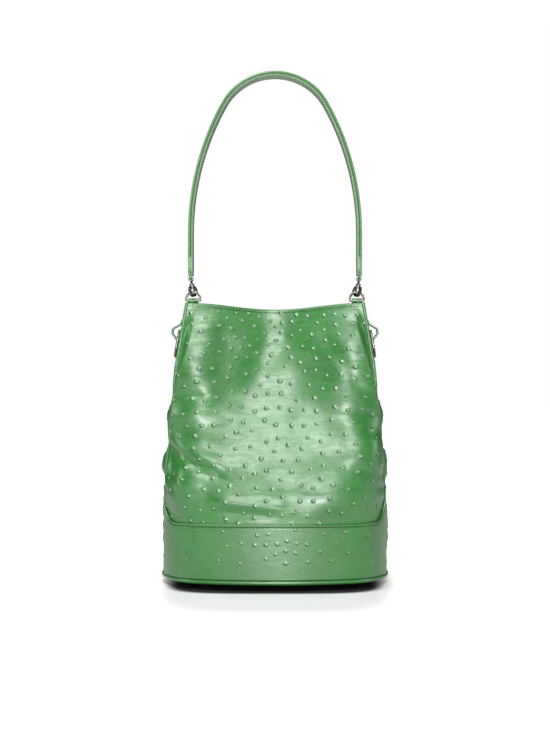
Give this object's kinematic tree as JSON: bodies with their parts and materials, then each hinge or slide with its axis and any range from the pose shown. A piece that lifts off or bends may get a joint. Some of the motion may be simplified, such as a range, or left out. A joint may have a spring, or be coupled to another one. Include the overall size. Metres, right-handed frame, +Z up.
{
  "type": "bucket bag",
  "caption": "Soft leather bucket bag with an oval base, pinched mouth, lower band and a single arched handle on snap hooks.",
  "frame": {"origin": "on the floor under the middle of the bag, at the feet's flats", "axes": "+X the bag's width, +Y towards its back, +Z up"},
  "size_m": [0.226, 0.154, 0.508],
  "materials": {
    "embossed_leather": "glossy ostrich-embossed leather",
    "band_leather": "glossy smooth leather with few bumps",
    "piping_leather": "glossy leather over a cord",
    "facing_leather": "smooth leather",
    "strap_leather": "smooth leather with painted edges",
    "leather": "smooth leather",
    "lining": "woven twill",
    "board": "fibre board",
    "metal": "polished dark nickel"
  },
  "bodies": {
    "bag": {"front_panel": "embossed_leather", "front_band": "band_leather", "front_lining": "lining", "front_facing": "facing_leather", "back_panel": "embossed_leather", "back_band": "band_leather", "back_lining": "lining", "back_facing": "facing_leather", "left_gusset": "embossed_leather", "left_lining": "lining", "left_facing": "facing_leather", "right_gusset": "embossed_leather", "right_lining": "lining", "right_facing": "facing_leather", "front_left_piping": "piping_leather", "front_right_piping": "piping_leather", "back_left_piping": "piping_leather", "back_right_piping": "piping_leather", "base_panel": "leather", "base_board": "board", "lining_bottom": "lining", "base_piping": "piping_leather", "base_feet": "metal", "foot_washers": "metal", "snap_stud": "metal", "snap_socket": "metal", "left_rim_tab": "leather", "right_rim_tab": "leather", "left_side_tab": "leather", "right_side_tab": "leather"},
    "handle": {"strap_outer": "strap_leather", "strap_lining": "strap_leather", "strap_core": "board", "left_strap_end": "strap_leather", "left_swivel_eye": "metal", "left_rim_ring": "metal", "right_strap_end": "strap_leather", "right_swivel_eye": "metal", "right_rim_ring": "metal"},
    "left_hook_body": {"left_hook": "metal", "left_gate_pin": "metal"},
    "left_gate_body": {"left_gate": "metal"},
    "left_side_ring_body": {"left_side_ring": "metal"},
    "right_hook_body": {"right_hook": "metal", "right_gate_pin": "metal"},
    "right_gate_body": {"right_gate": "metal"},
    "right_side_ring_body": {"right_side_ring": "metal"}
  },
  "joints": [
    {"name": "handle_swing", "type": "hinge", "parent": "bag", "child": "handle", "pos_m": [0, 0, 0.2796], "axis": [1, 0, 0], "range_deg": [-65, 65]},
    {"name": "left_hook_swivel", "type": "hinge", "parent": "handle", "child": "left_hook_body", "pos_m": [-0.084, 0, 0.3015], "axis": [-0.1392, 0, 0.9903], "range_deg": [-4, 68]},
    {"name": "left_gate_hinge", "type": "hinge", "parent": "left_hook_body", "child": "left_gate_body", "pos_m": [-0.08002, 0.00399, 0.29105], "axis": [-0.8398, 0.5299, -0.118], "range_deg": [0, 15], "stiffness_Nm_per_rad": 0.0004, "springref_deg": -11.46},
    {"name": "left_side_ring_lift", "type": "hinge", "parent": "bag", "child": "left_side_ring_body", "pos_m": [-0.09517, 0, 0.24926], "axis": [0, 1, 0], "range_deg": [0, 150]},
    {"name": "right_hook_swivel", "type": "hinge", "parent": "handle", "child": "right_hook_body", "pos_m": [0.084, 0, 0.3015], "axis": [0.1392, 0, 0.9903], "range_deg": [-68, 4]},
    {"name": "right_gate_hinge", "type": "hinge", "parent": "right_hook_body", "child": "right_gate_body", "pos_m": [0.08002, 0.00399, 0.29105], "axis": [-0.8398, -0.5299, 0.118], "range_deg": [0, 15], "stiffness_Nm_per_rad": 0.0004, "springref_deg": -11.46},
    {"name": "right_side_ring_lift", "type": "hinge", "parent": "bag", "child": "right_side_ring_body", "pos_m": [0.09517, 0, 0.24926], "axis": [0, -1, 0], "range_deg": [0, 150]}
  ]
}
